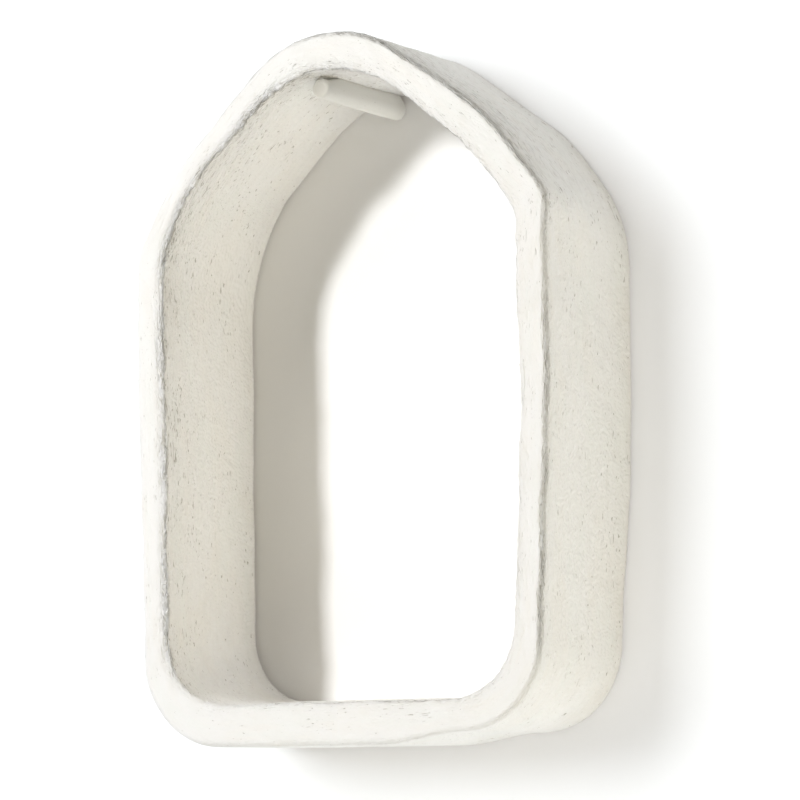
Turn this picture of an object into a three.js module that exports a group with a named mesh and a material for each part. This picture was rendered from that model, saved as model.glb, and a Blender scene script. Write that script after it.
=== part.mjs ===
// A wall niche of papier-mache: a deep hoop with a flat base, straight sides and a rounded gable head,
// open at the front and at the back, with a round hanging peg under its inner peak.
// Millimetres. X runs across the niche, +Y towards the wall, +Z up. The origin is the middle of the
// whole object's box in X and Y, at the height of the underside.
import * as THREE from 'three';

// Overall form, measured on the outer face. A reach is measured sideways from the middle.
const HEIGHT = 611.5;
const DEPTH = 143;
const LEFT_SHOULDER_REACH = 209.5;
const RIGHT_SHOULDER_REACH = 207;
const LEFT_FOOT_REACH = 200.5;
const RIGHT_FOOT_REACH = 195.5;
const LEFT_SHOULDER_HEIGHT = 431;
const RIGHT_SHOULDER_HEIGHT = 454;
const PEAK_X = -7;

// Radii of the outer outline
const PEAK_RADIUS = 118;
const HAUNCH_RADIUS = 230;
const LEFT_SHOULDER_RADIUS = 56;
const RIGHT_SHOULDER_RADIUS = 32;
const LEFT_FOOT_RADIUS = 79;
const RIGHT_FOOT_RADIUS = 76;

// Radii of the inner outline
const PEAK_INNER_RADIUS = 112;
const HAUNCH_INNER_RADIUS = 190;
const LEFT_SHOULDER_INNER_RADIUS = 105;
const RIGHT_SHOULDER_INNER_RADIUS = 53;
const LEFT_FOOT_INNER_RADIUS = 57;
const RIGHT_FOOT_INNER_RADIUS = 65;

// Wall thicknesses
const BASE_WALL = 37;
const LEFT_FOOT_WALL = 29;
const RIGHT_FOOT_WALL = 24;
const LEFT_SHOULDER_WALL = 31;
const RIGHT_SHOULDER_WALL = 28.5;
const LEFT_SLOPE_WALL = 24.7;
const RIGHT_SLOPE_WALL = 29;
const PEAK_WALL = 34.5;

// How far the haunch halfway up each slope stands out from the straight line to the peak
const LEFT_CROWN = 14.5;
const RIGHT_CROWN = 15.5;
const LEFT_INNER_CROWN = 15;
const RIGHT_INNER_CROWN = 8.5;

// How far each side wall swells outwards from a straight line, at its middle
const LEFT_SIDE_BOW = 1;
const RIGHT_SIDE_BOW = 4;
const RIGHT_SIDE_INNER_BOW = 3.5;

// The underside is flat up to LIFT_START_X, and then rises towards the right foot
const RIGHT_FOOT_LIFT = 10;
const LIFT_START_X = 42;

// At the wall the right shoulder stands wider, lower and softer, the left one is only softer, the inside
// of the left slope is flatter, the walls taper more towards their feet and the shelf is higher
const BACK_SHOULDER_SPREAD = 7;
const BACK_SHOULDER_DROP = 11;
const BACK_RIGHT_SHOULDER_RADIUS = 125;
const BACK_LEFT_SHOULDER_RADIUS = 110;
const BACK_LEFT_SHOULDER_INNER_RADIUS = 195;
const BACK_LEFT_HAUNCH_INNER_RADIUS = 75;
const BACK_LEFT_INNER_CROWN = 9;
const BACK_FOOT_THINNING = 3.5;
const BACK_SHOULDER_THICKENING = 1.5;
const BACK_SHELF_RISE = 5;

// Rounding of the two rims
const FRONT_EDGE_RADIUS = 7.5;
const BACK_EDGE_RADIUS = 4;

// Handmade unevenness: how far the faces, the front rim and the crumpled lips of its edges depart, and
// how far behind the front rim its own unevenness has faded out
const FACE_WAVE = 1;
const RIM_WAVE = 1.8;
const RIM_WAVE_FADE = 48;
const LIP_HEIGHT = 1.1;

// The unevenness is a sum of waves: the part of the whole that each makes, how often it goes around the
// outline, how it slants over the depth and where it starts. Rim and lips are more tightly crumpled.
const WAVES = [
  { part: 0.42, turns: 5, slant: 2.1, phase: 1 },
  { part: 0.33, turns: 11, slant: -3.2, phase: 2.7 },
  { part: 0.25, turns: 23, slant: 5.3, phase: 4.3 },
];
const RIM_TIGHTNESS = 2;
const LIP_TIGHTNESS = 3;
const WAVE_SEEDS = { outer: 0, inner: 2, outerLip: 4, innerLip: 5, rim: 6 };

// The peg hangs under the ceiling, left of the middle, and ends level with the rim that meets the wall
const PEG_DIAMETER = 19;
const PEG_X = -21;
const PEG_FRONT_INSET = 15;
const PEG_EDGE_RADIUS = 2.5;
const PEG_DISH_DEPTH = 0.8;
const PEG_LIP_WIDTH = 2.4;
const PEG_CLEARANCE = 0.4;

// How finely the surfaces are divided, as steps along each stretch. Corners run: left foot, right foot,
// right shoulder, right haunch, peak, left haunch, left shoulder, and each side follows its corner.
const ARC_STEPS = [11, 11, 6, 4, 13, 4, 6];
const SIDE_STEPS = [15, 23, 4, 4, 4, 4, 23];
const SECTION_STEPS = { outerFace: 8, frontEdge: 4, rim: 3, innerFace: 7, backEdge: 2, backRim: 1 };
const PEG_SIDES = 28;

const vec = (x, z) => new THREE.Vector2(x, z);
const mix = (a, b, t) => a + (b - a) * t;

// Where the line through p along u meets the line through q along v
function meet(p, u, q, v) {
  const along = q.clone().sub(p).cross(v) / u.cross(v);
  return p.clone().addScaledVector(u, along);
}

// Direction of the line from a point that just touches a circle, passing it on the chosen side
function tangentTo(point, centre, radius, side) {
  const to = centre.clone().sub(point);
  const angle = to.angle() + side * Math.asin(radius / to.length());
  return vec(Math.cos(angle), Math.sin(angle));
}

// The head between two shoulders: each slope climbs to a haunch that stands out by its crown, and from
// there to the peak's circle. Gives the three corners, and each slope's straight direction.
function gable(left, right, top, radius, leftCrown, rightCrown) {
  const centre = vec(PEAK_X, top - radius);
  const climb = (shoulder, side, crown) => {
    const slope = tangentTo(shoulder, centre, radius, side);
    const half = Math.sqrt(shoulder.distanceToSquared(centre) - radius ** 2) / 2;
    const outwards = vec(-side * slope.y, side * slope.x);
    const haunch = shoulder.clone().addScaledVector(slope, half).addScaledVector(outwards, crown);
    return { slope, haunch, upper: tangentTo(haunch, centre, radius, side) };
  };
  const [l, r] = [climb(left, 1, leftCrown), climb(right, -1, rightCrown)];
  return {
    leftSlope: l.slope,
    rightSlope: r.slope,
    corners: [r.haunch, meet(l.haunch, l.upper, r.haunch, r.upper), l.haunch],
  };
}

// The corners of the outer and the inner outline, with their radii and the bow of each side.
// back is 0 at the front rim and 1 at the wall.
function outlines(back) {
  const spread = BACK_SHOULDER_SPREAD * back;
  const drop = BACK_SHOULDER_DROP * back;
  const leftFoot = vec(-LEFT_FOOT_REACH, 0);
  const rightFoot = vec(RIGHT_FOOT_REACH, RIGHT_FOOT_LIFT);
  const rightShoulder = vec(RIGHT_SHOULDER_REACH + spread, RIGHT_SHOULDER_HEIGHT - drop);
  const leftShoulder = vec(-LEFT_SHOULDER_REACH, LEFT_SHOULDER_HEIGHT);
  const outer = gable(leftShoulder, rightShoulder, HEIGHT, PEAK_RADIUS, LEFT_CROWN, RIGHT_CROWN);

  const level = vec(1, 0);
  const shelf = vec(0, BASE_WALL + BACK_SHELF_RISE * back);
  const wallLine = (foot, footWall, shoulder, shoulderWall, side) => {
    const low = foot.clone().add(vec(side * (footWall - BACK_FOOT_THINNING * back), 0));
    const high = shoulder.clone().add(vec(side * (shoulderWall + BACK_SHOULDER_THICKENING * back), 0));
    return [low, high.sub(low)];
  };
  const leftWall = wallLine(leftFoot, LEFT_FOOT_WALL, leftShoulder, LEFT_SHOULDER_WALL, 1);
  const rightWall = wallLine(rightFoot, RIGHT_FOOT_WALL, rightShoulder, RIGHT_SHOULDER_WALL, -1);
  const inset = (point, slope, side, wall) =>
    point.clone().addScaledVector(vec(side * slope.y, -side * slope.x), wall);
  const leftEave = inset(leftShoulder, outer.leftSlope, 1, LEFT_SLOPE_WALL);
  const rightEave = inset(rightShoulder, outer.rightSlope, -1, RIGHT_SLOPE_WALL);
  const leftInner = meet(...leftWall, leftEave, outer.leftSlope);
  const rightInner = meet(...rightWall, rightEave, outer.rightSlope);
  const inner = gable(leftInner, rightInner, HEIGHT - PEAK_WALL, PEAK_INNER_RADIUS,
    mix(LEFT_INNER_CROWN, BACK_LEFT_INNER_CROWN, back), RIGHT_INNER_CROWN);

  return {
    outer: {
      corners: [leftFoot, rightFoot, rightShoulder, ...outer.corners, leftShoulder],
      radii: [LEFT_FOOT_RADIUS, RIGHT_FOOT_RADIUS,
        mix(RIGHT_SHOULDER_RADIUS, BACK_RIGHT_SHOULDER_RADIUS, back),
        HAUNCH_RADIUS, PEAK_RADIUS, HAUNCH_RADIUS,
        mix(LEFT_SHOULDER_RADIUS, BACK_LEFT_SHOULDER_RADIUS, back)],
      bows: [0, RIGHT_SIDE_BOW, 0, 0, 0, 0, LEFT_SIDE_BOW],
    },
    inner: {
      corners: [meet(...leftWall, shelf, level), meet(...rightWall, shelf, level), rightInner,
        ...inner.corners, leftInner],
      radii: [LEFT_FOOT_INNER_RADIUS, RIGHT_FOOT_INNER_RADIUS, RIGHT_SHOULDER_INNER_RADIUS,
        HAUNCH_INNER_RADIUS, PEAK_INNER_RADIUS,
        mix(HAUNCH_INNER_RADIUS, BACK_LEFT_HAUNCH_INNER_RADIUS, back),
        mix(LEFT_SHOULDER_INNER_RADIUS, BACK_LEFT_SHOULDER_INNER_RADIUS, back)],
      bows: [0, RIGHT_SIDE_INNER_BOW, 0, 0, 0, 0, 0],
    },
  };
}

// One rounded corner as points on its arc. A foot's base side is level whatever the other foot's height.
function cornerArc({ corners, radii }, index) {
  const corner = corners[index];
  const steps = ARC_STEPS[index];
  const count = corners.length;
  const before = index === 1 ? corner.clone().add(vec(-1, 0)) : corners[(index + count - 1) % count];
  const after = index === 0 ? corner.clone().add(vec(1, 0)) : corners[(index + 1) % count];
  const toBefore = before.clone().sub(corner).normalize();
  const toAfter = after.clone().sub(corner).normalize();
  const half = Math.acos(THREE.MathUtils.clamp(toBefore.dot(toAfter), -1, 1)) / 2;
  const inward = toBefore.clone().add(toAfter).normalize();
  const centre = corner.clone().addScaledVector(inward, radii[index] / Math.sin(half));
  const start = corner.clone().addScaledVector(toBefore, radii[index] / Math.tan(half)).sub(centre);
  const turn = Math.PI - 2 * half;
  return Array.from({ length: steps + 1 }, (_, i) =>
    start.clone().rotateAround(vec(0, 0), (turn * i) / steps).add(centre));
}

// The points between two arcs: level and then lifting on the base, bowed outwards on every other side
function sidePoints(start, end, index, bow) {
  const steps = SIDE_STEPS[index];
  const along = end.clone().sub(start).normalize();
  const outwards = vec(along.y, -along.x);
  return Array.from({ length: steps - 1 }, (_, i) => {
    const t = (i + 1) / steps;
    const point = start.clone().lerp(end, t);
    if (index === 0) {
      point.y = mix(start.y, end.y, THREE.MathUtils.smoothstep(point.x, LIFT_START_X, end.x));
      return point;
    }
    return point.addScaledVector(outwards, bow * Math.sin(Math.PI * t) ** 2);
  });
}

// The whole closed outline, anticlockwise from the start of the left foot's arc
function loop(outline) {
  const arcs = outline.corners.map((_, index) => cornerArc(outline, index));
  return arcs.flatMap((arc, index) => {
    const next = arcs[(index + 1) % arcs.length];
    return [...arc, ...sidePoints(arc[arc.length - 1], next[0], index, outline.bows[index])];
  });
}

// Outward direction at each point of a closed outline
function outwardNormals(points) {
  return points.map((_, i) => {
    const before = points[(i + points.length - 1) % points.length];
    const after = points[(i + 1) % points.length];
    const along = after.clone().sub(before).normalize();
    return vec(along.y, -along.x);
  });
}

// Position of each point along its closed outline, from 0 to 1
function shares(points) {
  const lengths = points.map((point, i) => point.distanceTo(points[(i + 1) % points.length]));
  const total = lengths.reduce((sum, length) => sum + length, 0);
  let run = 0;
  return lengths.map((length) => {
    const share = run / total;
    run += length;
    return share;
  });
}

// A smooth uneven wave between -1 and 1 that closes on itself around the outline
function handWave(share, slantShare, seed) {
  return WAVES.reduce((sum, { part, turns, slant, phase }) =>
    sum + part * Math.sin(2 * Math.PI * turns * share + slant * slantShare + phase * seed), 0);
}

// 0 on the flat of the base, so that it stays a plane, and 1 everywhere above the feet
function awayFromBase(index) {
  const firstFlat = ARC_STEPS[0];
  const lastFlat = firstFlat + SIDE_STEPS[0];
  const steps = Math.max(firstFlat - index, index - lastFlat, 0);
  return THREE.MathUtils.smoothstep(steps, 0, firstFlat);
}

// The section of the hoop where its wall has a given thickness, as points with a share across the wall
// (0 on the outer face, 1 on the inner one) and a depth behind the front rim. It runs up the outer face
// to the front, over the front rim, back along the inner face and over the rim that meets the wall.
// A lip is how far the front edges stand out past their rounding.
function section(wall, outerLip, innerLip) {
  const steps = SECTION_STEPS;
  const front = FRONT_EDGE_RADIUS;
  const back = BACK_EDGE_RADIUS;
  const points = [];
  const straight = (count, from, to) => {
    for (let i = 0; i < count; i += 1) {
      points.push({ across: mix(from[0], to[0], i / count), depth: mix(from[1], to[1], i / count) });
    }
  };
  const rounded = (count, centre, radius, from, lip) => {
    for (let i = 0; i < count; i += 1) {
      const angle = from + (Math.PI / 2) * (i / count);
      const reach = radius + lip * Math.sin(Math.PI * (i / count));
      points.push({
        across: centre[0] + (reach / wall) * Math.cos(angle),
        depth: centre[1] + reach * Math.sin(angle),
      });
    }
  };
  straight(steps.outerFace, [0, DEPTH - back], [0, front]);
  rounded(steps.frontEdge, [front / wall, front], front, Math.PI, outerLip);
  straight(steps.rim, [front / wall, 0], [1 - front / wall, 0]);
  rounded(steps.frontEdge, [1 - front / wall, front], front, -Math.PI / 2, innerLip);
  straight(steps.innerFace, [1, front], [1, DEPTH - back]);
  rounded(steps.backEdge, [1 - back / wall, DEPTH - back], back, 0, 0);
  straight(steps.backRim, [1 - back / wall, DEPTH], [back / wall, DEPTH]);
  rounded(steps.backEdge, [back / wall, DEPTH - back], back, Math.PI / 2, 0);
  return points;
}

// The hoop's surface as rings of points: one ring for each station along the outline
function shellRings() {
  const [front, back] = [outlines(0), outlines(1)];
  const loops = {
    outer: [loop(front.outer), loop(back.outer)],
    inner: [loop(front.inner), loop(back.inner)],
  };
  const normals = { outer: outwardNormals(loops.outer[0]), inner: outwardNormals(loops.inner[0]) };
  return shares(loops.outer[0]).map((share, i) => {
    const free = awayFromBase(i);
    const faceAt = (face, depth) => {
      const [atFront, atBack] = loops[face];
      const wave = FACE_WAVE * free * handWave(share, depth / DEPTH, WAVE_SEEDS[face]);
      return atFront[i].clone().lerp(atBack[i], depth / DEPTH).addScaledVector(normals[face][i], wave);
    };
    const wall = faceAt('outer', 0).distanceTo(faceAt('inner', 0));
    const lip = (seed) => (LIP_HEIGHT * free * (1 + handWave(LIP_TIGHTNESS * share, 0, seed))) / 2;
    return section(wall, lip(WAVE_SEEDS.outerLip), lip(WAVE_SEEDS.innerLip)).map(({ across, depth }) => {
      const nearRim = 1 - THREE.MathUtils.smoothstep(depth, 0, RIM_WAVE_FADE);
      const dent = (RIM_WAVE * nearRim * (1 + handWave(RIM_TIGHTNESS * share, across, WAVE_SEEDS.rim))) / 2;
      const point = faceAt('outer', depth).lerp(faceAt('inner', depth), across);
      return new THREE.Vector3(point.x, depth + dent - DEPTH / 2, point.y);
    });
  });
}

// A closed surface through rings of points that themselves close in a ring
function closedSurface(rings) {
  const size = rings[0].length;
  const indices = [];
  rings.forEach((_, i) => {
    const next = (i + 1) % rings.length;
    for (let k = 0; k < size; k += 1) {
      const after = (k + 1) % size;
      const [a, b, c, d] = [i * size + k, next * size + k, next * size + after, i * size + after];
      indices.push(a, b, c, a, c, d);
    }
  });
  const geometry = new THREE.BufferGeometry().setFromPoints(rings.flat());
  geometry.setIndex(indices);
  geometry.computeVertexNormals();
  return geometry;
}

// How high the peg's axis can be, with its clearance below the ceiling all along its length
function pegHeight(rings) {
  const reach = PEG_DIAMETER / 2 + PEG_CLEARANCE;
  const samples = 12;
  let height = Infinity;
  rings.forEach((ring, i) => {
    const next = rings[(i + 1) % rings.length];
    ring.forEach((point, k) => {
      for (let step = 0; step < samples; step += 1) {
        const place = point.clone().lerp(next[k], step / samples);
        const aside = Math.abs(place.x - PEG_X);
        if (aside < reach && place.z > BASE_WALL + reach) {
          height = Math.min(height, place.z - Math.sqrt(reach ** 2 - aside ** 2));
        }
      }
    });
  });
  return height;
}

// The peg turned from its profile: a front disc slightly dished inside a raised lip, and a soft back end
function pegGeometry() {
  const radius = PEG_DIAMETER / 2;
  const length = DEPTH - PEG_FRONT_INSET;
  const rounding = 4;
  const edge = (centre, from, to) => Array.from({ length: rounding + 1 }, (_, i) => {
    const angle = mix(from, to, i / rounding);
    return vec(radius - PEG_EDGE_RADIUS + PEG_EDGE_RADIUS * Math.cos(angle),
      centre + PEG_EDGE_RADIUS * Math.sin(angle));
  });
  const profile = [
    vec(0, PEG_DISH_DEPTH),
    vec(radius - PEG_EDGE_RADIUS - PEG_LIP_WIDTH, PEG_DISH_DEPTH),
    vec(radius - PEG_EDGE_RADIUS - PEG_LIP_WIDTH / 2, 0),
    ...edge(PEG_EDGE_RADIUS, -Math.PI / 2, 0),
    ...edge(length - PEG_EDGE_RADIUS, 0, Math.PI / 2),
    vec(0, length),
  ];
  return new THREE.LatheGeometry(profile, PEG_SIDES);
}

const paintedPaper = new THREE.MeshStandardMaterial({ color: 0xf2f0e8, roughness: 0.9, metalness: 0 });
const paintedWood = new THREE.MeshStandardMaterial({ color: 0xefece2, roughness: 0.75, metalness: 0 });

const rings = shellRings();
const shell = new THREE.Mesh(closedSurface(rings), paintedPaper);
shell.name = 'niche_shell';

// A lathe turns about +Y, from its first profile point at the front to the last at the wall
const peg = new THREE.Mesh(pegGeometry(), paintedWood);
peg.name = 'hanging_peg';
peg.position.set(PEG_X, PEG_FRONT_INSET - DEPTH / 2, pegHeight(rings));

// Both pieces are moved together so that the origin is the middle of the underside
const niche = new THREE.Group();
const middle = new THREE.Box3().setFromObject(shell).getCenter(new THREE.Vector3());
niche.add(shell, peg);
niche.position.set(-middle.x, -middle.y, 0);

export default niche;
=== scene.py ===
import math

import bpy
import numpy as np
from mathutils import Matrix, Vector
from mathutils.bvhtree import BVHTree


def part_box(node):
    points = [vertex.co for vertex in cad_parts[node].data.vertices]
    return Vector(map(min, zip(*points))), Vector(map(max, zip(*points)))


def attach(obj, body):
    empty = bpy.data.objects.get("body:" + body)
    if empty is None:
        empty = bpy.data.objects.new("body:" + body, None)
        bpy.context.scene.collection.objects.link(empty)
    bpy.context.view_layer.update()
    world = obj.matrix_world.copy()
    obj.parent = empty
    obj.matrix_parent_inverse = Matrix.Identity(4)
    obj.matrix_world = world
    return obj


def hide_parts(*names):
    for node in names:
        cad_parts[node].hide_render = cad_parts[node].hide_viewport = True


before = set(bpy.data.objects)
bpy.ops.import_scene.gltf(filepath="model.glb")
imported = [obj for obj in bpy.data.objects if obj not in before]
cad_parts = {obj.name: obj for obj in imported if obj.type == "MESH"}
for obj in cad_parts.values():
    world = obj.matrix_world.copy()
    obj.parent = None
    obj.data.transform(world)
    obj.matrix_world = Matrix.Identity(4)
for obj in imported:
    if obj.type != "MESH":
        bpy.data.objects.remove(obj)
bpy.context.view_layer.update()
SHELL_LOW, SHELL_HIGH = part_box("niche_shell")
PEG_LOW, PEG_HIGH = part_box("hanging_peg")

# Overall form of the outer face, as in the CAD part
HEIGHT = 0.6115
DEPTH = 0.143
LEFT_SHOULDER_REACH = 0.2095
RIGHT_SHOULDER_REACH = 0.207
LEFT_FOOT_REACH = 0.2005
RIGHT_FOOT_REACH = 0.1955
LEFT_SHOULDER_HEIGHT = 0.431
RIGHT_SHOULDER_HEIGHT = 0.454
PEAK_X = -0.007

# Radii of the outer and of the inner outline
PEAK_RADIUS = 0.118
HAUNCH_RADIUS = 0.230
LEFT_SHOULDER_RADIUS = 0.056
RIGHT_SHOULDER_RADIUS = 0.032
LEFT_FOOT_RADIUS = 0.079
RIGHT_FOOT_RADIUS = 0.076
PEAK_INNER_RADIUS = 0.112
HAUNCH_INNER_RADIUS = 0.190
LEFT_SHOULDER_INNER_RADIUS = 0.105
RIGHT_SHOULDER_INNER_RADIUS = 0.053
LEFT_FOOT_INNER_RADIUS = 0.057
RIGHT_FOOT_INNER_RADIUS = 0.065

# Wall thicknesses
BASE_WALL = 0.037
LEFT_FOOT_WALL = 0.029
RIGHT_FOOT_WALL = 0.024
LEFT_SHOULDER_WALL = 0.031
RIGHT_SHOULDER_WALL = 0.0285
LEFT_SLOPE_WALL = 0.0247
RIGHT_SLOPE_WALL = 0.029
PEAK_WALL = 0.0345

# How far the haunches stand out from straight slopes, and the side walls from straight lines
LEFT_CROWN = 0.0145
RIGHT_CROWN = 0.0155
LEFT_INNER_CROWN = 0.015
RIGHT_INNER_CROWN = 0.0085
LEFT_SIDE_BOW = 0.001
RIGHT_SIDE_BOW = 0.004
RIGHT_SIDE_INNER_BOW = 0.0035

# The underside is flat up to LIFT_START_X and then rises towards the right foot
RIGHT_FOOT_LIFT = 0.010
LIFT_START_X = 0.042

# What differs at the wall from the front rim
BACK_SHOULDER_SPREAD = 0.007
BACK_SHOULDER_DROP = 0.011
BACK_RIGHT_SHOULDER_RADIUS = 0.125
BACK_LEFT_SHOULDER_RADIUS = 0.110
BACK_LEFT_SHOULDER_INNER_RADIUS = 0.195
BACK_LEFT_HAUNCH_INNER_RADIUS = 0.075
BACK_LEFT_INNER_CROWN = 0.009
BACK_FOOT_THINNING = 0.0035
BACK_SHOULDER_THICKENING = 0.0015
BACK_SHELF_RISE = 0.005

# Rounding of the two rims: the front one is sharper on the right, with a change of this width in the middle
FRONT_EDGE_RADIUS = 0.0075
FRONT_INNER_EDGE_RADIUS = 0.0030
RIGHT_EDGE_RADIUS = 0.0056
RIGHT_SIDE_RISE = 0.12
BACK_EDGE_RADIUS = 0.004

# Broad unevenness that the CAD solid has too, and a slight lip along the two front edges. Each wave has a
# part of the whole, a number of turns round the outline, a slant and a phase.
FACE_WAVE = 0.001
RIM_WAVE = 0.0018
RIM_WAVE_FADE = 0.048
LIP_HEIGHT = 0.0005
WAVES = [(0.42, 5, 2.1, 1), (0.33, 11, -3.2, 2.7), (0.25, 23, 5.3, 4.3)]
RIM_TIGHTNESS = 2
LIP_TIGHTNESS = 3
WAVE_SEEDS = {"outer": 0, "inner": 2, "outer_lip": 4, "inner_lip": 5, "rim": 6}

# The peg's place in the outline's own coordinates, which ties them to the frame
PEG_X = -0.021
SHIFT_X = (PEG_LOW.x + PEG_HIGH.x) / 2 - PEG_X
SHIFT_Y = SHELL_HIGH.y - DEPTH / 2

# How finely the shell is divided: the spacing of its stations, and the steps along each section stretch.
# Steps on the two faces crowd towards the front. Trial steps measure the outlines, and evening smooths the
# spacing over this many stations.
STATION_SPACING = 0.00225
FACE_STEPS = 44
EDGE_STEPS = 8
INNER_EDGE_STEPS = 5
RIM_STEPS = 19
BACK_EDGE_STEPS = 4
BACK_RIM_STEPS = 6
FACE_CROWDING = 0.4
EVENING = 21
TRIAL_STEPS = 32

# Corners count from the left foot, anticlockwise as seen from the front
LEFT_FOOT, RIGHT_FOOT = 0, 1
CORNERS = 7


def vec(x, z):
    return np.array([x, z], float)


def mix(a, b, t):
    return a + (b - a) * t


def smoothstep(t):
    t = np.clip(t, 0, 1)
    return t * t * (3 - 2 * t)


def unit(v):
    return v / np.linalg.norm(v)


def cross(a, b):
    return a[0] * b[1] - a[1] * b[0]


def meet(p, u, q, v):
    """Where the line through p along u meets the line through q along v."""
    return p + u * cross(q - p, v) / cross(u, v)


def tangent_to(point, centre, radius, side):
    """Direction of the line from a point that just touches a circle, passing it on the chosen side."""
    to = centre - point
    angle = math.atan2(to[1], to[0]) + side * math.asin(radius / np.linalg.norm(to))
    return vec(math.cos(angle), math.sin(angle))


def gable(left, right, top, radius, left_crown, right_crown):
    """The head's haunches and peak, and the straight direction of each slope."""
    centre = vec(PEAK_X, top - radius)

    def climb(shoulder, side, crown):
        slope = tangent_to(shoulder, centre, radius, side)
        half = math.sqrt(np.sum((shoulder - centre) ** 2) - radius ** 2) / 2
        haunch = shoulder + slope * half + vec(-side * slope[1], side * slope[0]) * crown
        return slope, haunch, tangent_to(haunch, centre, radius, side)

    left_slope, left_haunch, left_upper = climb(left, 1, left_crown)
    right_slope, right_haunch, right_upper = climb(right, -1, right_crown)
    peak = meet(left_haunch, left_upper, right_haunch, right_upper)
    return left_slope, right_slope, [right_haunch, peak, left_haunch]


def outlines(back):
    """Corners, radii and bows of the outer and the inner outline. back is 0 at the front, 1 at the wall."""
    left_foot = vec(-LEFT_FOOT_REACH, 0)
    right_foot = vec(RIGHT_FOOT_REACH, RIGHT_FOOT_LIFT)
    right_shoulder = vec(RIGHT_SHOULDER_REACH + BACK_SHOULDER_SPREAD * back,
                         RIGHT_SHOULDER_HEIGHT - BACK_SHOULDER_DROP * back)
    left_shoulder = vec(-LEFT_SHOULDER_REACH, LEFT_SHOULDER_HEIGHT)
    left_slope, right_slope, head = gable(left_shoulder, right_shoulder, HEIGHT, PEAK_RADIUS,
                                          LEFT_CROWN, RIGHT_CROWN)

    def wall_line(foot, foot_wall, shoulder, shoulder_wall, side):
        low = foot + vec(side * (foot_wall - BACK_FOOT_THINNING * back), 0)
        high = shoulder + vec(side * (shoulder_wall + BACK_SHOULDER_THICKENING * back), 0)
        return low, high - low

    level = vec(1, 0)
    shelf = vec(0, BASE_WALL + BACK_SHELF_RISE * back)
    left_wall = wall_line(left_foot, LEFT_FOOT_WALL, left_shoulder, LEFT_SHOULDER_WALL, 1)
    right_wall = wall_line(right_foot, RIGHT_FOOT_WALL, right_shoulder, RIGHT_SHOULDER_WALL, -1)
    left_eave = left_shoulder + vec(left_slope[1], -left_slope[0]) * LEFT_SLOPE_WALL
    right_eave = right_shoulder + vec(-right_slope[1], right_slope[0]) * RIGHT_SLOPE_WALL
    left_inner = meet(*left_wall, left_eave, left_slope)
    right_inner = meet(*right_wall, right_eave, right_slope)
    inner_head = gable(left_inner, right_inner, HEIGHT - PEAK_WALL, PEAK_INNER_RADIUS,
                       mix(LEFT_INNER_CROWN, BACK_LEFT_INNER_CROWN, back), RIGHT_INNER_CROWN)[2]
    outer = {
        "corners": [left_foot, right_foot, right_shoulder, *head, left_shoulder],
        "radii": [LEFT_FOOT_RADIUS, RIGHT_FOOT_RADIUS,
                  mix(RIGHT_SHOULDER_RADIUS, BACK_RIGHT_SHOULDER_RADIUS, back),
                  HAUNCH_RADIUS, PEAK_RADIUS, HAUNCH_RADIUS,
                  mix(LEFT_SHOULDER_RADIUS, BACK_LEFT_SHOULDER_RADIUS, back)],
        "bows": [0, RIGHT_SIDE_BOW, 0, 0, 0, 0, LEFT_SIDE_BOW],
    }
    inner = {
        "corners": [meet(*left_wall, shelf, level), meet(*right_wall, shelf, level), right_inner,
                    *inner_head, left_inner],
        "radii": [LEFT_FOOT_INNER_RADIUS, RIGHT_FOOT_INNER_RADIUS, RIGHT_SHOULDER_INNER_RADIUS,
                  HAUNCH_INNER_RADIUS, PEAK_INNER_RADIUS,
                  mix(HAUNCH_INNER_RADIUS, BACK_LEFT_HAUNCH_INNER_RADIUS, back),
                  mix(LEFT_SHOULDER_INNER_RADIUS, BACK_LEFT_SHOULDER_INNER_RADIUS, back)],
        "bows": [0, RIGHT_SIDE_INNER_BOW, 0, 0, 0, 0, 0],
    }
    return {"outer": outer, "inner": inner}


def corner_arc(outline, index, steps):
    """One rounded corner as points. A foot's base side is level, whatever the other foot's height."""
    corners, radius = outline["corners"], outline["radii"][index]
    corner = corners[index]
    before = corner + vec(-1, 0) if index == RIGHT_FOOT else corners[index - 1]
    after = corner + vec(1, 0) if index == LEFT_FOOT else corners[(index + 1) % CORNERS]
    to_before, to_after = unit(before - corner), unit(after - corner)
    half = math.acos(np.clip(to_before @ to_after, -1, 1)) / 2
    centre = corner + unit(to_before + to_after) * radius / math.sin(half)
    start = corner + to_before * radius / math.tan(half) - centre
    turn = np.linspace(0, math.pi - 2 * half, steps + 1)
    return centre + np.stack([start[0] * np.cos(turn) - start[1] * np.sin(turn),
                              start[0] * np.sin(turn) + start[1] * np.cos(turn)], axis=1)


def side_points(start, end, index, bow, steps):
    """The points between two arcs: level and then lifting on the base, bowed on every other side."""
    t = (np.arange(1, steps) / steps)[:, None]
    points = mix(start, end, t)
    if index == LEFT_FOOT:
        lift = smoothstep((points[:, 0] - LIFT_START_X) / (end[0] - LIFT_START_X))
        points[:, 1] = mix(start[1], end[1], lift)
        return points
    along = unit(end - start)
    return points + vec(along[1], -along[0]) * bow * np.sin(math.pi * t) ** 2


def stretches(outline, counts):
    """The outline as its arcs and sides in turn, from the start of the left foot's arc."""
    arcs = [corner_arc(outline, index, counts[index][0]) for index in range(CORNERS)]
    found = []
    for index, arc in enumerate(arcs):
        after = arcs[(index + 1) % CORNERS]
        found.append(arc)
        found.append(side_points(arc[-1], after[0], index, outline["bows"][index], counts[index][1]))
    return found


def path_length(points):
    """Length of an open run of points."""
    return np.linalg.norm(np.diff(points, axis=0), axis=1).sum()


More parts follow.
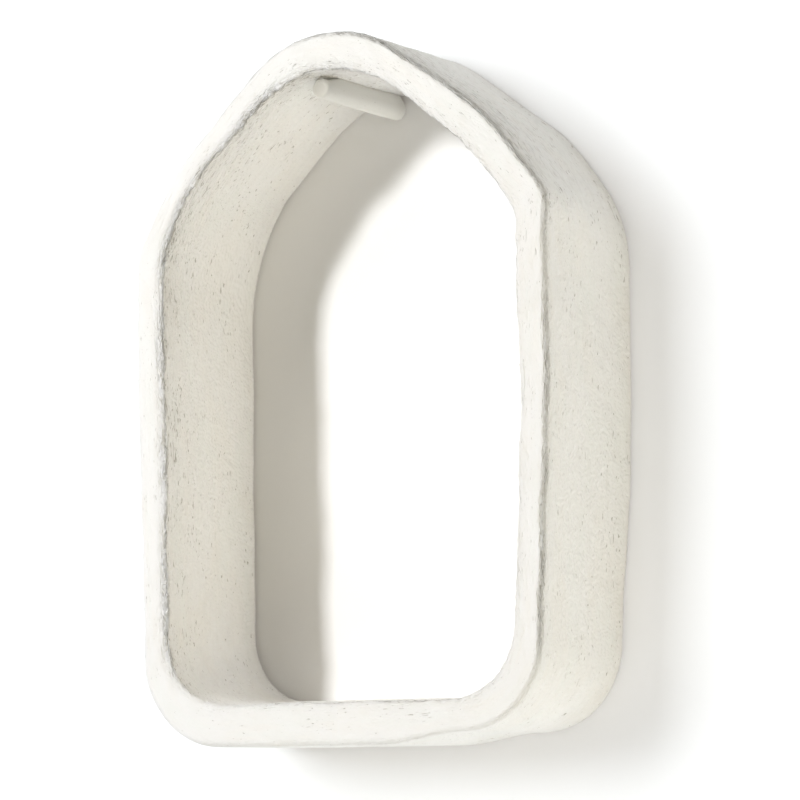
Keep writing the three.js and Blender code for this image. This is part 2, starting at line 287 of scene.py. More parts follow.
def station_counts(shapes):
    """Steps on each corner's arc and on the side after it, for an even spacing on all four outlines."""
    trial = [(TRIAL_STEPS, TRIAL_STEPS)] * CORNERS
    lengths = np.mean([[path_length(s) for s in stretches(shape, trial)] for shape in shapes], axis=0)
    steps = np.maximum(2, np.rint(lengths / STATION_SPACING)).astype(int)
    return [(steps[2 * index], steps[2 * index + 1]) for index in range(CORNERS)]


def away_from_base(counts):
    """0 at the stations of the base, so that it stays a plane, and 1 everywhere above the feet."""
    free = []
    for index, (arc, side) in enumerate(counts):
        climb = np.linspace(0, 1, arc + 1)
        rises = {LEFT_FOOT: smoothstep(1 - climb), RIGHT_FOOT: smoothstep(climb)}
        free.append(rises.get(index, np.ones(arc + 1)))
        free.append(np.zeros(side - 1) if index == LEFT_FOOT else np.ones(side - 1))
    return np.concatenate(free)


def evened(points):
    """The same closed outline with its points spaced more evenly, so that no stretch is crowded."""
    ends = np.vstack([points, points[:1]])
    lengths = np.linalg.norm(np.diff(ends, axis=0), axis=1)
    wide = np.ones(EVENING) / EVENING
    spread = np.concatenate([lengths[-EVENING:], lengths, lengths[:EVENING]])
    even = np.convolve(np.convolve(spread, wide, "same"), wide, "same")[EVENING:-EVENING]
    places = np.concatenate([[0], np.cumsum(lengths)])
    wanted = np.concatenate([[0], np.cumsum(even)[:-1]]) * places[-1] / even.sum()
    return np.stack([np.interp(wanted, places, ends[:, axis]) for axis in (0, 1)], axis=1)


def outward_normals(points):
    """Outward direction at each point of a closed outline."""
    along = np.roll(points, -1, axis=0) - np.roll(points, 1, axis=0)
    along /= np.linalg.norm(along, axis=1)[:, None]
    return np.stack([along[:, 1], -along[:, 0]], axis=1)


def shares(points):
    """Position of each point along its closed outline, from 0 to 1."""
    lengths = np.linalg.norm(np.roll(points, -1, axis=0) - points, axis=1)
    return np.concatenate([[0], np.cumsum(lengths)[:-1]]) / lengths.sum()


def hand_wave(share, slant_share, seed):
    """The broad uneven wave of the CAD solid, between -1 and 1."""
    return sum(part * np.sin(2 * math.pi * turns * share + slant * slant_share + phase * seed)
               for part, turns, slant, phase in WAVES)


def right_side(x):
    """0 on the left, rising to 1 on the right."""
    return smoothstep(x / RIGHT_SIDE_RISE + 0.5)


def section(wall, on_right, outer_lip, inner_lip):
    """Sections of the hoop, one row for each station, as a share across the wall and a depth behind the
    front rim: up the outer face to the front, over the rim, back along the inner face and over the rim
    at the wall."""
    inner, back = FRONT_INNER_EDGE_RADIUS, BACK_EDGE_RADIUS
    front = mix(FRONT_EDGE_RADIUS, RIGHT_EDGE_RADIUS, on_right[:, None])
    wall = wall[:, None]
    still = np.zeros_like(wall)

    def straight(steps, across, depth, crowding=0.0):
        t = np.arange(steps) / steps
        t = mix(t, t ** 2, crowding) if crowding > 0 else mix(t, 1 - (1 - t) ** 2, -crowding)
        return mix(across[0], across[1], t), mix(depth[0], depth[1], t) + still

    def rounded(steps, across, depth, radius, begin, lip):
        t = np.arange(steps) / steps
        angle = begin + math.pi / 2 * t
        reach = radius + lip * np.sin(math.pi * t)
        return across + reach / wall * np.cos(angle), depth + reach * np.sin(angle)

    lip = {"outer": outer_lip[:, None], "inner": inner_lip[:, None]}
    pieces = [
        straight(FACE_STEPS, (still, still), (DEPTH - back, front), -FACE_CROWDING),
        rounded(EDGE_STEPS, front / wall, front, front, math.pi, lip["outer"]),
        straight(RIM_STEPS, (front / wall, 1 - inner / wall), (0, 0)),
        rounded(INNER_EDGE_STEPS, 1 - inner / wall, inner, inner, -math.pi / 2, lip["inner"]),
        straight(FACE_STEPS, (1 + still, 1 + still), (inner, DEPTH - back), FACE_CROWDING),
        rounded(BACK_EDGE_STEPS, 1 - back / wall, DEPTH - back, back, 0, still),
        straight(BACK_RIM_STEPS, (1 - back / wall, back / wall), (DEPTH, DEPTH)),
        rounded(BACK_EDGE_STEPS, back / wall, DEPTH - back, back, math.pi / 2, still),
    ]
    return [np.concatenate([piece[axis] for piece in pieces], axis=1) for axis in (0, 1)]


def plain_shell():
    """The shell's surface as the CAD solid has it, but finely divided: a grid of points, one row for each
    station, with how free each station is of the flat base, and the share across the wall and the depth of
    each point."""
    at_front, at_back = outlines(0), outlines(1)
    counts = station_counts([at_front["outer"], at_front["inner"], at_back["outer"], at_back["inner"]])
    loops = {face: [evened(np.concatenate(stretches(shape[face], counts))) for shape in (at_front, at_back)]
             for face in ("outer", "inner")}
    normals = {face: outward_normals(loops[face][0]) for face in loops}
    free = away_from_base(counts)[:, None]
    share = shares(loops["outer"][0])[:, None]

    def face_at(face, depth):
        near, far = [loop[:, None, :] for loop in loops[face]]
        wave = FACE_WAVE * free * hand_wave(share, depth / DEPTH, WAVE_SEEDS[face])
        return mix(near, far, (depth / DEPTH)[..., None]) + normals[face][:, None, :] * wave[..., None]

    def lip(name):
        return (LIP_HEIGHT * free * (1 + hand_wave(LIP_TIGHTNESS * share, 0, WAVE_SEEDS[name])) / 2)[:, 0]

    rim = np.zeros_like(share)
    wall = np.linalg.norm(face_at("outer", rim) - face_at("inner", rim), axis=2)[:, 0]
    across, depth = section(wall, right_side(loops["outer"][0][:, 0]), lip("outer_lip"), lip("inner_lip"))
    near_rim = 1 - smoothstep(depth / RIM_WAVE_FADE)
    dent = RIM_WAVE * near_rim * (1 + hand_wave(RIM_TIGHTNESS * share, across, WAVE_SEEDS["rim"])) / 2
    flat = mix(face_at("outer", depth), face_at("inner", depth), across[..., None])
    points = np.stack([flat[..., 0] + SHIFT_X, depth + dent - DEPTH / 2 + SHIFT_Y, flat[..., 1]], axis=2)
    return points, free, across, depth


# Relief of the handmade surface: a seed, a height, and the sizes along and across the outline
RELIEF = {
    "lumps": (1, 0.00060, 0.050, 0.034),
    "ripples": (2, 0.00030, 0.018, 0.014),
    "strokes": (3, 0.00012, 0.034, 0.006),
    "patches": (4, 1.0, 0.060, 0.045),
    "folds": (5, 0.00125, 0.0085, 0.0055),
    "crumbs": (6, 0.00085, 0.0056, 0.0042),
    "dents": (7, 0.0005, 0.012, 0.0055),
    "jags": (8, 0.00260, 0.0130, 0.0400),
    "fine_jags": (9, 0.00320, 0.0048, 0.0400),
}

# What brings the noise to about 1 high
NOISE_GAIN = 1.4

# How far the relief is sunk below the CAD surface, so that its heights stay inside it
SINK = 0.0005
EDGE_SINK = 0.0004
JAG_SINK = 0.0004

# Shape of the marks: ridges of folds with sharp valleys, dents that begin at a threshold, and patches that
# crumple less than others and carry less of the paint's crumple, creases, pits and painted shade along their
# edges
FOLD_RIDGE = 0.6
FOLD_STEEPNESS = 2.4
DENT_THRESHOLD = 0.38
DENT_RISE = 0.3
PATCH_CONTRAST = 0.8
LEAST_CRUMPLE = 0.45
LEAST_EDGE_MARKS = 0.5

# How far the crumple reaches from each front edge, along the section towards its start and towards its end
OUTER_REACH = (0.0070, 0.0035)
INNER_REACH = (0.0075, 0.0030)
JAG_REACH = (0.0036, 0.0036)

# Where the relief is quiet: at the wall, on the base, and on the side that the photograph shows smoother
WALL_FADE = 0.005
BASE_TOP = 0.035
BASE_FADE = 0.060
QUIET_SHARE = 0.25
UNDERSIDE_SHARE = 0.25

# The brushed look belongs to the outer face of the slopes, above this height and near the front
BRUSHED_FROM = 0.42
BRUSHED_RISE = 0.09
BRUSHED_SHARE = 0.2
BRUSH_REACH = 0.060

# The rim is smooth up to this depth, scratches reach this far behind the inner front edge, and the faces are
# more weathered above this height
FACE_START = 0.008
STROKE_REACH = 0.030
WEATHERED_FROM = 0.30
WEATHERED_RISE = 0.16


def closed_noise(u, v, size, extent, seed):
    """Gradient noise about 1 high, on cells of the given size, that closes on itself in both directions.
    u and v run from 0 to 1 over an extent in metres."""
    cells = [max(2, round(whole / part)) for whole, part in zip(extent, size)]
    angle = np.random.default_rng(seed).uniform(0, 2 * math.pi, cells)
    x, y = u * cells[0], v * cells[1]
    column, row = np.floor(x).astype(int), np.floor(y).astype(int)
    x, y = x - column, y - row

    def slope(right, up):
        turned = angle[(column + right) % cells[0], (row + up) % cells[1]]
        return np.cos(turned) * (x - right) + np.sin(turned) * (y - up)

    ease_x, ease_y = [t ** 3 * (t * (6 * t - 15) + 10) for t in (x, y)]
    low = mix(slope(0, 0), slope(1, 0), ease_x)
    high = mix(slope(0, 1), slope(1, 1), ease_x)
    return NOISE_GAIN * mix(low, high, ease_y)


def ring_shares(points):
    """Position of each point along closed rings of points, from 0 to 1, and the mean length of a ring."""
    lengths = np.linalg.norm(np.roll(points, -1, axis=1) - points, axis=2).mean(axis=0)
    return np.concatenate([[0], np.cumsum(lengths)[:-1]]) / lengths.sum(), lengths.sum()


def grid_normals(points):
    """Outward direction at each point of a grid that closes on itself both ways."""
    along = np.roll(points, -1, axis=0) - np.roll(points, 1, axis=0)
    around = np.roll(points, -1, axis=1) - np.roll(points, 1, axis=1)
    normal = np.cross(along, around)
    return normal / np.linalg.norm(normal, axis=2)[..., None]


def near(place, around, girth, reach):
    """1 at a place around the section, falling off over the reach before it and the reach after it."""
    away = (around - place) * girth
    return np.exp(-(away / np.where(away < 0, *reach)) ** 2)


def crumpled_shell():
    """The shell with its relief, and what the material needs to know at each point: how crumpled it is near a
    front edge, and near the outer one, how close behind the inner front edge it is, how brushed it is,
    whether it is off the rim, and how high it is."""
    points, free, across, depth = plain_shell()
    along, length = ring_shares(points.transpose(1, 0, 2))
    around, girth = ring_shares(points)
    u, v = np.broadcast_arrays(along[:, None], around[None, :])
    pattern = {name: closed_noise(u, v, size, (length, girth), seed)
               for name, (seed, height, *size) in RELIEF.items()}
    relief = {name: RELIEF[name][1] * pattern[name] for name in RELIEF}

    outer_edge = around[FACE_STEPS + EDGE_STEPS // 2]
    inner_edge = around[FACE_STEPS + EDGE_STEPS + RIM_STEPS + INNER_EDGE_STEPS // 2]
    on_right = right_side(points[..., 0])
    off_base = smoothstep((points[..., 2] - BASE_TOP) / BASE_FADE)
    rough_left = mix(QUIET_SHARE, 1, (1 - on_right) * off_base)
    rough_right = mix(QUIET_SHARE, 1, on_right * off_base)
    outside = rough_right * near(outer_edge, around, girth, OUTER_REACH)
    edge = outside + rough_left * near(inner_edge, around, girth, INNER_REACH)
    ragged = rough_left * near(inner_edge, around, girth, JAG_REACH)

    patches = smoothstep(0.5 + PATCH_CONTRAST * relief["patches"])
    folds = RELIEF["folds"][1] * (FOLD_RIDGE - FOLD_STEEPNESS * np.abs(pattern["folds"]))
    crumple = edge * (mix(LEAST_CRUMPLE, 1, patches) * (folds + relief["crumbs"]) - EDGE_SINK)
    crumple = crumple + ragged * (relief["jags"] + relief["fine_jags"] - JAG_SINK)
    dents = smoothstep((pattern["dents"] - DENT_THRESHOLD) / DENT_RISE)
    height = relief["lumps"] + relief["ripples"] + relief["strokes"] + crumple
    height = height - RELIEF["dents"][1] * dents - SINK
    on_underside = (1 - free) * (1 - smoothstep(across / UNDERSIDE_SHARE))
    on_wall = smoothstep((depth - DEPTH + WALL_FADE) / WALL_FADE)
    points = points + grid_normals(points) * (height * (1 - on_underside) * (1 - on_wall))[..., None]
    points = np.clip(points, np.array(SHELL_LOW), np.array(SHELL_HIGH))

    on_slope = smoothstep((points[..., 2] - BRUSHED_FROM) / BRUSHED_RISE)
    on_outer_face = 1 - smoothstep(across / BRUSHED_SHARE)
    behind = (around - inner_edge) * girth
    just_inside = np.where(behind > 0, np.exp(-behind / STROKE_REACH), 0)
    values = {
        "edge": edge * mix(LEAST_EDGE_MARKS, 1, patches),
        "outside": outside,
        "just_inside": np.broadcast_to(just_inside, edge.shape),
        "brushed": on_slope * on_outer_face * np.exp(-depth / BRUSH_REACH),
        "face": np.broadcast_to(smoothstep(depth / FACE_START), edge.shape),
        "high": smoothstep((points[..., 2] - WEATHERED_FROM) / WEATHERED_RISE),
    }
    return points, values, length, girth


def mesh_object(name, points, faces):
    """A smooth shaded object from points and a list of faces."""
    mesh = bpy.data.meshes.new(name)
    mesh.from_pydata(points.reshape(-1, 3).tolist(), [], faces)
    mesh.polygons.foreach_set("use_smooth", np.ones(len(mesh.polygons), bool))
    mesh.update()
    piece = bpy.data.objects.new(name, mesh)
    bpy.context.scene.collection.objects.link(piece)
    return piece


def ring_faces(rings, size, closed):
    """Quads between rings of points, each ring closed, and the rings too if closed is true. They face
    outwards where a ring's points turn the other way from the peg's."""
    i, k = np.meshgrid(np.arange(rings if closed else rings - 1), np.arange(size), indexing="ij")
    after, beside = (i + 1) % rings, (k + 1) % size
    corners = [i * size + k, after * size + k, after * size + beside, i * size + beside]
    return np.stack([c.ravel() for c in corners], axis=1)


def lay_out(piece, rings, size, first, length, girth):
    """A UV map in metres, along the outline from its first ring and around its section, so that marks can
    follow the hoop."""
    i, k = np.meshgrid((np.arange(rings) - first) % rings, np.arange(size), indexing="ij")
    steps = [(i, k), (i + 1, k), (i + 1, k + 1), (i, k + 1)]
    places = [np.stack([a.ravel() / rings * length, b.ravel() / size * girth], axis=1) for a, b in steps]
    layer = piece.data.uv_layers.new(name="outline")
    layer.data.foreach_set("uv", np.stack(places, axis=1).astype(np.float32).ravel())


def point_values(piece, values):
    """Named values at each point of a piece, for its material."""
    for name, value in values.items():
        attribute = piece.data.attributes.new(name, "FLOAT", "POINT")
        attribute.data.foreach_set("value", value.astype(np.float32).ravel())


# How much lowness counts against nearness to the middle, in choosing where the shell's map starts
BASE_PULL = 10


def make_shell():
    """The shell, whose map starts from the middle of the base."""
    points, values, length, girth = crumpled_shell()
    rings, size = points.shape[:2]
    piece = mesh_object("crumpled_shell", points, ring_faces(rings, size, True).tolist())
    lowest = np.argmin(abs(points[:, 0, 0]) + BASE_PULL * points[:, 0, 2])
    lay_out(piece, rings, size, lowest, length, girth)
    point_values(piece, values)
    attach(piece, "root")
    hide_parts("niche_shell")
    return piece


# The peg: turned, a little slimmer at its front, with a raised lip round its front disc
PEG_SIDES = 96
PEG_SLIMMING = 0.05
PEG_FRONT_ROUNDING = 0.0022
PEG_BACK_ROUNDING = 0.0036
PEG_DISH_DEPTH = 0.0004
PEG_LIP_RADIUS = 0.0066
PEG_LIP_WIDTH = 0.0011

# Rings of the peg: the smallest ring's radius, and how many there are on each stretch
PEG_EYE = 0.0002
PEG_DISC_RINGS = 25
PEG_ROUNDING_RINGS = 8
PEG_BODY_RINGS = 72
PEG_BACK_RINGS = 6

# Its unevenness: a seed, a height, and the sizes along and around it. The length takes nearly all of a noise
# that closes on itself, so that its two ends differ.
PEG_RELIEF = [(21, 0.00022, 0.016, 0.014), (22, 0.00010, 0.007, 0.005)]
PEG_SINK = 0.00022
PEG_NOISE_SHARE = 0.98

# The paint that beds it under the ceiling, along its middle and over its upper side
PEG_BED_START = 0.007
PEG_BED_RAMP = 0.016
PEG_BED_END = 0.1195
PEG_BED_FADE = 0.008
PEG_BED_OVERLAP = 0.0004
PEG_BED_SIDE = 0.2
PEG_BED_SPREAD = 0.65


def peg_profile():
    """Radius and distance from the front, from the middle of the front disc to the middle of the back."""
    radius = (PEG_HIGH.x - PEG_LOW.x) / 2
    length = PEG_HIGH.y - PEG_LOW.y
    front, back = PEG_FRONT_ROUNDING, PEG_BACK_ROUNDING
    disc = np.linspace(PEG_EYE, radius - front, PEG_DISC_RINGS + 1)[:-1]
    lip = np.exp(-((disc - PEG_LIP_RADIUS) / PEG_LIP_WIDTH) ** 2)
    rise = smoothstep((disc - PEG_LIP_RADIUS) / (radius - front - PEG_LIP_RADIUS))
    turn = np.linspace(0, math.pi / 2, PEG_ROUNDING_RINGS)
    body = np.linspace(front, length - back, PEG_BODY_RINGS + 2)[1:-1]
    end = np.linspace(radius - back, PEG_EYE, PEG_BACK_RINGS + 1)[1:]
    radii = np.concatenate([disc, radius - front + front * np.sin(turn), np.full(len(body), radius),
                            radius - back + back * np.cos(turn), end])
    places = np.concatenate([PEG_DISH_DEPTH * (1 - np.maximum(lip, rise)), front - front * np.cos(turn),
                             body, length - back + back * np.sin(turn), np.full(len(end), length)])
    return radii, places


def make_peg(ceiling):
    """The peg, and the paint that fills the corner between it and the ceiling above it."""
    radii, places = peg_profile()
    axis = (PEG_LOW + PEG_HIGH) / 2
    length = PEG_HIGH.y - PEG_LOW.y
    share = places / length
    turn = np.arange(PEG_SIDES) / PEG_SIDES
    u, v = np.broadcast_arrays(np.clip(share, 0, 1)[:, None], turn[None, :])
    girth = 2 * math.pi * radii.max()
    waves = sum(height * closed_noise(u * PEG_NOISE_SHARE, v, size, (length, girth), seed)
                for seed, height, *size in PEG_RELIEF)
    slim = radii[:, None] * (1 - PEG_SLIMMING * (1 - smoothstep(share))[:, None])
    reach = slim + (waves - PEG_SINK) * smoothstep(radii / radii.max())[:, None]
    angle = 2 * math.pi * turn
    forward = np.broadcast_to(PEG_LOW.y + places[:, None], reach.shape)
    points = np.stack([axis.x + reach * np.sin(angle), forward, axis.z + reach * np.cos(angle)], axis=2)
    upwards = smoothstep((np.cos(angle) - PEG_BED_SIDE) / PEG_BED_SPREAD)
    begun = smoothstep((places - PEG_BED_START) / PEG_BED_RAMP)
    bed = begun * (1 - smoothstep((places - PEG_BED_END) / PEG_BED_FADE))
    for ring, along in enumerate(bed):
        for side in np.nonzero(upwards * along > 0)[0]:
            x, y, z = points[ring, side]
            met = ceiling.ray_cast(Vector((x, y, z)), Vector((0, 0, 1)))
            gap = met[3] + PEG_BED_OVERLAP if met[3] else 0
            points[ring, side, 2] = z + gap * along * upwards[side]
    rings = len(radii)
    faces = ring_faces(rings, PEG_SIDES, False)[:, ::-1].tolist()
    faces.append(list(range(PEG_SIDES))[::-1])
    faces.append(list(range((rings - 1) * PEG_SIDES, rings * PEG_SIDES)))
    piece = mesh_object("painted_peg", points, faces)
    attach(piece, "root")
    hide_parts("hanging_peg")
    return piece


# Where each seed finds its own stretch of noise
GRAIN_STEP = (7.3, 3.1)
GRAIN_START = 5.7


class Shading:
    """The nodes of one material, added one by one. Sockets and plain values can both be given as inputs."""

    def __init__(self, name):
        self.material = bpy.data.materials.new(name)
        self.material.use_nodes = True
        self.tree = self.material.node_tree
        self.tree.nodes.clear()

    def add(self, kind, inputs, output=0, **settings):
        """A node, given by the output that is used of it."""
        node = self.tree.nodes.new(kind)
        for name, value in settings.items():
            setattr(node, name, value)
        for name, value in inputs.items():
            if isinstance(value, bpy.types.NodeSocket):
                self.tree.links.new(value, node.inputs[name])
            else:
                node.inputs[name].default_value = value
        return node.outputs[output]

    def sum(self, *values):
        """All values added up."""
        total = values[0]
        for value in values[1:]:
            total = self.add("ShaderNodeMath", {0: total, 1: value}, operation="ADD")
        return total

    def times(self, *values):
        """All values multiplied."""
        total = values[0]
        for value in values[1:]:
            total = self.add("ShaderNodeMath", {0: total, 1: value}, operation="MULTIPLY")
        return total

    def attribute(self, name):
        """A value that each point of the mesh carries."""
        return self.add("ShaderNodeAttribute", {}, "Fac", attribute_name=name)

    def grain(self, at, size, seed, detail=1.0, warp=0.0):
        """Noise from 0 to 1 on cells of the given size in metres. The seed moves it to another place."""
        scale = ([1 / part for part in size] + [1])[:3]
        place = (GRAIN_STEP[0] * seed, GRAIN_STEP[1] * seed, GRAIN_START)
        moved = self.add("ShaderNodeMapping", {"Vector": at, "Scale": scale, "Location": place})
        noise = {"Vector": moved, "Scale": 1.0, "Detail": detail, "Distortion": warp}
        return self.add("ShaderNodeTexNoise", noise, "Fac")

    def between(self, value, low, high, start=0.0, end=1.0):
        """A smooth rise from start to end while the value goes from low to high."""
        return self.add("ShaderNodeMapRange", {0: value, 1: low, 2: high, 3: start, 4: end},
                        interpolation_type="SMOOTHSTEP")

    def blend(self, share, first, second):
        """One colour turning into another."""
        node = self.tree.nodes.new("ShaderNodeMix")
        node.data_type = "RGBA"
        sockets = {socket.identifier: socket for socket in node.inputs}
        for name, value in (("Factor_Float", share), ("A_Color", first), ("B_Color", second)):
            if isinstance(value, bpy.types.NodeSocket):
                self.tree.links.new(value, sockets[name])
            else:
                sockets[name].default_value = (*value, 1)
        return next(socket for socket in node.outputs if socket.identifier == "Result_Color")

    def end(self, shader):
        """The finished material."""
        output = self.tree.nodes.new("ShaderNodeOutputMaterial")
        self.tree.links.new(shader, output.inputs["Surface"])
        return self.material

    def paint(self, colour, rough, gloss, height):
        """The finished material, as paint over a relief too fine for the mesh."""
        normal = self.add("ShaderNodeBump", {"Height": height, "Distance": 1.0, "Strength": 1.0})
        look = {"Base Color": colour, "Roughness": rough, "Specular IOR Level": gloss, "Normal": normal}
        return self.end(self.add("ShaderNodeBsdfPrincipled", look))


# Colours of the paint, as linear values, among them colours of painted shade
PAINT = (0.890, 0.880, 0.858)
PAINT_WARM = (0.888, 0.872, 0.838)
PAINT_COOL = (0.880, 0.880, 0.850)
# Colour of painted shade, laid into the crumple's hollows on the outer edge, into creases and into the
# brushed grooves
PAINT_SHADE = (0.620, 0.600, 0.560)
# Grey of brush streaks, and painted shade in the crumple's hollows along the front edges
PAINT_GREY = (0.790, 0.780, 0.750)
# Painted shade in the pits and gouges of the shell and in the specks of the peg
PIT_SHADE = (0.430, 0.400, 0.345)
# The peg's two colours: the same paint, darker than on the shell as painted shade over the whole peg
PEG_PAINT_IN_SHADE = (0.790, 0.780, 0.735)
PEG_WORN_IN_SHADE = (0.780, 0.750, 0.700)
WALL = (0.965, 0.950, 0.925)
FLOOR = (0.900, 0.890, 0.870)


# Noises of the painted shell: cell sizes along and across the outline, a seed, detail and warp
GRAINS = {
    "fine": ((0.0026, 0.0021), 1, 0.0),
    "lumps": ((0.0080, 0.0060), 2, 1.0),
    "strokes": ((0.0220, 0.0026), 3, 1.0),
    "crumple": ((0.0056, 0.0038), 4, 1.0, 0.8),
    "region": ((0.040, 0.024), 5, 1.0),
    "pits": ((0.0050, 0.0017), 6, 1.0, 0.4),
    "gouges": ((0.0120, 0.0024), 7, 1.2, 0.5),
    "grooves": ((0.0075, 0.0021), 8, 0.6, 0.3),
    "warm": ((0.060, 0.030), 9, 2.0),
    "cool": ((0.075, 0.022), 10, 2.0),
    "scratches": ((0.0085, 0.0024), 11, 0.6, 0.3),
}

# The values of its noise between which each mark comes up, and how strong it is before and after
CREASED = (0.0, 0.04, 1, 0)
PITTED = (0.700, 0.735)
GOUGED = (0.735, 0.775)
WARMED = (0.40, 0.66)
COOLED = (0.46, 0.70, 0, 0.8)
STREAKED = (0.44, 0.72, 0, 0.18)
# Painted shade in the crumple's hollows along the front edges, over a faint grey all along them
EDGE_CRUMPLE_SHADE = (0.60, 0.40, 0.05, 0.60)
# Painted shade in the crumple's hollows along the outer front edge
OUTER_CRUMPLE_SHADE = (0.60, 0.40, 0.0, 0.18)
# Painted shade in the valleys of the brushed grooves, which shows as dark streaks
GROOVE_SHADE = (0.46, 0.30, 0, 1.0)
# How far the creases are darkened with painted shade
CREASE_SHADE = 0.14
# How far the pits and gouges are darkened with painted shade
PIT_SHADE_SHARE = 0.68
ROUGHENED = (0.3, 0.7, 0.82, 0.95)
PAINT_GLOSS = 0.25

# What crowds pits and gouges, over a level that leaves most of the paint whole
CROWDING = {"edge": 0.050, "just_inside": 0.090, "high": 0.010, "face": 0.014}
REGION_CROWDING = 0.24
CROWDING_LEVEL = -0.166

# Heights of the relief too fine for the mesh, and the least of it on the smooth rim and low on the faces
FINE_HEIGHT = 0.0010
LUMP_HEIGHT = 0.0014
STROKE_HEIGHT = 0.0003
CRUMPLE_HEIGHT = 0.0068
SCRATCH_HEIGHT = 0.0045
GROOVE_HEIGHT = 0.0050
CREASE_DEPTH = 0.0003
PIT_DEPTH = 0.0006
GOUGE_DEPTH = 0.0008
LEAST_WORKED = 0.3
LEAST_WEATHERED = 0.35


def paint_marks(look, place, grain):
    """Creases in the crumple, and pits and gouges that crowd towards the front edges."""
    folded = look.sum(grain["crumple"], -0.5)
    away = look.add("ShaderNodeMath", {0: folded}, operation="ABSOLUTE")
    crowds = [look.times(place[name], share) for name, share in CROWDING.items()]
    crowding = look.sum(*crowds, look.times(grain["region"], REGION_CROWDING), CROWDING_LEVEL)
    return {
        "folded": folded,
        "creases": look.times(place["edge"], look.between(away, *CREASED)),
        "pits": look.between(look.sum(grain["pits"], crowding), *PITTED),
        "gouges": look.between(look.sum(grain["gouges"], crowding), *GOUGED),
    }


def paint_relief(look, place, grain, marks):
    """Height of the paint's surface over the mesh."""
    worked = look.sum(LEAST_WORKED, look.times(place["face"], 1 - LEAST_WORKED))
    weathered = look.sum(LEAST_WEATHERED, look.times(place["high"], 1 - LEAST_WEATHERED))
    scratches = look.sum(grain["scratches"], -0.5)
    grooves = look.sum(grain["grooves"], -0.5)
    return look.sum(look.times(grain["fine"], worked, FINE_HEIGHT),
                    look.times(grain["lumps"], worked, LUMP_HEIGHT),
                    look.times(grain["strokes"], place["face"], STROKE_HEIGHT),
                    look.times(marks["folded"], place["edge"], CRUMPLE_HEIGHT),
                    look.times(marks["creases"], -CREASE_DEPTH),
                    look.times(scratches, place["just_inside"], weathered, SCRATCH_HEIGHT),
                    look.times(marks["pits"], -PIT_DEPTH),
                    look.times(marks["gouges"], -GOUGE_DEPTH),
                    look.times(grooves, place["brushed"], GROOVE_HEIGHT))


def paint_colour(look, place, grain, marks):
    """White paint in faint patches of tint and grey brush streaks, with painted shade in the edge crumple's
    hollows, creases, brushed grooves, pits and gouges.
    """
    crumple = grain["crumple"]
    dark = look.add("ShaderNodeMath", {0: marks["pits"], 1: marks["gouges"]}, operation="MAXIMUM")
    layers = [
        (look.between(grain["warm"], *WARMED), PAINT_WARM),
        (look.between(grain["cool"], *COOLED), PAINT_COOL),
        (look.times(place["face"], look.between(grain["strokes"], *STREAKED)), PAINT_GREY),
        # Painted shade in the crumple's hollows along the front edges
        (look.times(place["edge"], look.between(crumple, *EDGE_CRUMPLE_SHADE)), PAINT_GREY),
        # Painted shade in the crumple's hollows along the outer front edge
        (look.times(place["outside"], look.between(crumple, *OUTER_CRUMPLE_SHADE)), PAINT_SHADE),
        # Painted shade in the creases
        (look.times(marks["creases"], CREASE_SHADE), PAINT_SHADE),
        # Painted shade in the valleys of the brushed grooves on the slopes, which shows as dark streaks
        (look.times(place["brushed"], look.between(grain["grooves"], *GROOVE_SHADE)), PAINT_SHADE),
        # Painted shade in the pits and gouges
        (look.times(dark, PIT_SHADE_SHARE), PIT_SHADE),
    ]
    colour = PAINT
    for share, tint in layers:
        colour = look.blend(share, colour, tint)
    return colour


def papier_mache():
    """Brushed matt paint over crumpled pulp, in marks that follow the outline."""
    look = Shading("painted papier-mache")
    at = look.add("ShaderNodeUVMap", {}, uv_map="outline")
    names = ("edge", "outside", "just_inside", "brushed", "face", "high")
    place = {name: look.attribute(name) for name in names}
    grain = {name: look.grain(at, *form) for name, form in GRAINS.items()}
    marks = paint_marks(look, place, grain)
    rough = look.between(grain["lumps"], *ROUGHENED)
    colour = paint_colour(look, place, grain, marks)
    return look.paint(colour, rough, PAINT_GLOSS, paint_relief(look, place, grain, marks))


# Noises of the painted peg: cell sizes across, along and up, a seed, detail and warp
PEG_GRAINS = {
    "fine": ((0.0011, 0.0018, 0.0011), 1, 2.0),
    "lumps": ((0.0060, 0.0110, 0.0060), 2, 1.0),
    "wood": ((0.0014, 0.0300, 0.0014), 3, 2.0),
    "specks": ((0.0020, 0.0042, 0.0020), 4, 1.0, 0.3),
}
PEG_HEIGHTS = {"fine": 0.00010, "lumps": 0.00022, "wood": 0.00008}
SPECKED = (0.76, 0.80)
SPECK_DEPTH = 0.00020
# How far the specks are darkened with painted shade
SPECK_SHADE_SHARE = 0.5
WOOD_WORN = (0.42, 0.72, 0, 0.18)
WOOD_ROUGHENED = (0.3, 0.7, 0.75, 0.92)
WOOD_GLOSS = 0.3


def painted_wood():
    """The same paint on turned wood, darkened all over as painted shade: faint grain along the peg and a few
    specks, dark with painted shade.
    """
    look = Shading("painted wood")
    at = look.add("ShaderNodeTexCoord", {}, "Object")
    grain = {name: look.grain(at, *form) for name, form in PEG_GRAINS.items()}
    specks = look.between(grain["specks"], *SPECKED)
    heights = [look.times(grain[name], height) for name, height in PEG_HEIGHTS.items()]
    # The paint darkened as painted shade over the whole peg, with its grain
    tinted = look.blend(look.between(grain["wood"], *WOOD_WORN), PEG_PAINT_IN_SHADE, PEG_WORN_IN_SHADE)
    # The specks are darkened with painted shade in their hollows
    colour = look.blend(look.times(specks, SPECK_SHADE_SHARE), tinted, PIT_SHADE)
    rough = look.between(grain["lumps"], *WOOD_ROUGHENED)
    return look.paint(colour, rough, WOOD_GLOSS, look.sum(*heights, look.times(specks, -SPECK_DEPTH)))


